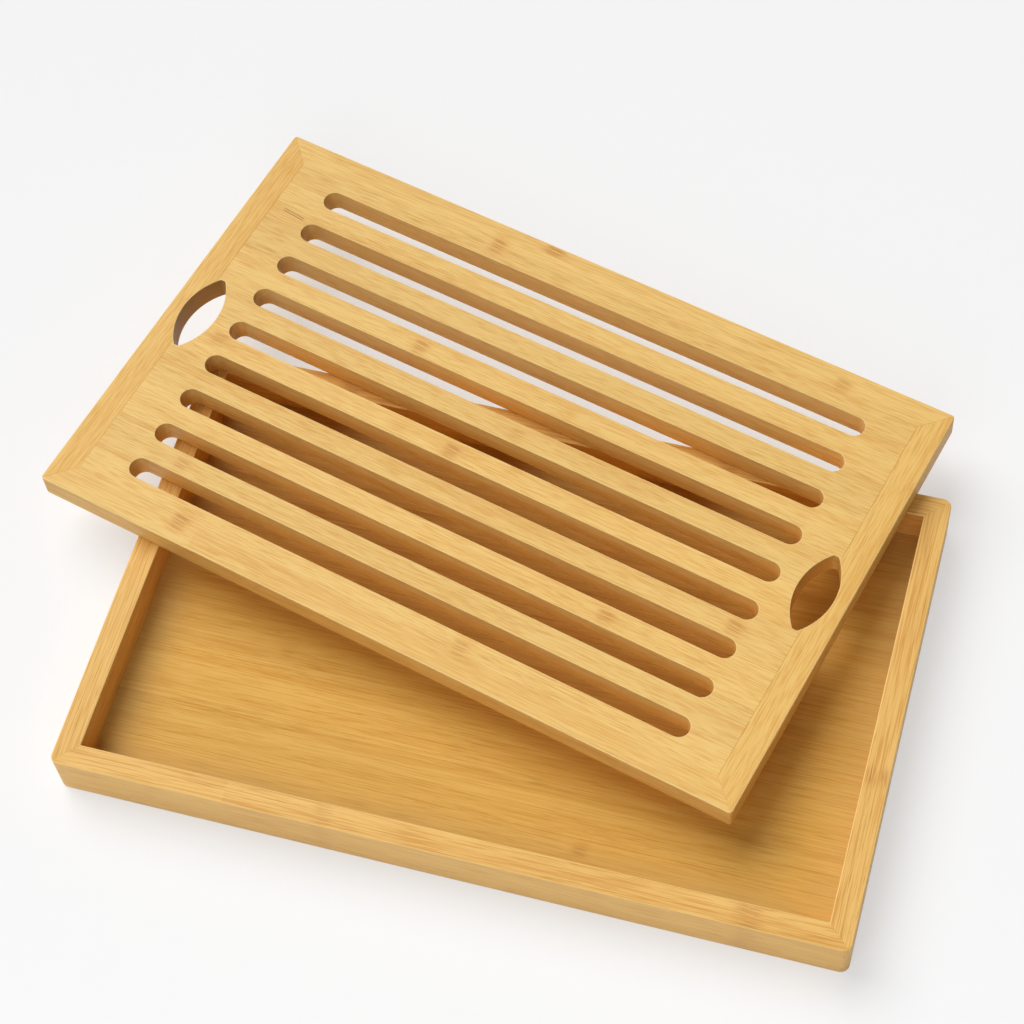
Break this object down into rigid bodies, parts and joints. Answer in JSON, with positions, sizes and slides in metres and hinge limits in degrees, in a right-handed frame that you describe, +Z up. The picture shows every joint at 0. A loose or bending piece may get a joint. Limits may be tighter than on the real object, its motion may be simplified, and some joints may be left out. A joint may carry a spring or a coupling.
{
  "type": "bread board with crumb tray",
  "caption": "Slatted bamboo bread board with finger holes at its ends, lying loose and askew on the rim of a shallow mitred crumb tray.",
  "frame": {"origin": "middle of the tray's underside, in the plane that it stands on", "axes": "+X along the board's long side and its slots, +Y across them towards the board's rear, +Z up; the tray is turned 14 degrees anticlockwise about +Z under the board"},
  "size_m": [0.4768, 0.3762, 0.0423],
  "materials": {
    "board_stave_bamboo": "oiled satin bamboo, grain along the stave",
    "board_rail_bamboo": "oiled satin bamboo, grain along each rail",
    "tray_rail_bamboo": "oiled satin bamboo, grain along each rail",
    "tray_floor_bamboo": "oiled satin bamboo, slightly darker, grain along the length"
  },
  "bodies": {
    "tray": {"tray_front_rail": "tray_rail_bamboo", "tray_right_rail": "tray_rail_bamboo", "tray_rear_rail": "tray_rail_bamboo", "tray_left_rail": "tray_rail_bamboo", "tray_floor_slat_1": "tray_floor_bamboo", "tray_floor_slat_2": "tray_floor_bamboo", "tray_floor_slat_3": "tray_floor_bamboo", "tray_floor_slat_4": "tray_floor_bamboo", "tray_floor_slat_5": "tray_floor_bamboo", "tray_floor_slat_6": "tray_floor_bamboo", "tray_floor_slat_7": "tray_floor_bamboo", "tray_floor_slat_8": "tray_floor_bamboo", "tray_floor_slat_9": "tray_floor_bamboo"},
    "board": {"board_front_rail": "board_rail_bamboo", "board_right_rail": "board_rail_bamboo", "board_rear_rail": "board_rail_bamboo", "board_left_rail": "board_rail_bamboo", "board_stave_1": "board_stave_bamboo", "board_stave_2": "board_stave_bamboo", "board_stave_3": "board_stave_bamboo", "board_stave_4": "board_stave_bamboo", "board_stave_5": "board_stave_bamboo", "board_stave_6": "board_stave_bamboo", "board_stave_7": "board_stave_bamboo", "board_stave_8": "board_stave_bamboo", "board_stave_9": "board_stave_bamboo", "board_stave_10": "board_stave_bamboo"}
  },
  "joints": [
    {"name": "board_lift", "type": "slide", "parent": "tray", "child": "board", "axis": [0, 0, 1], "range_m": [0, 0.15]}
  ]
}
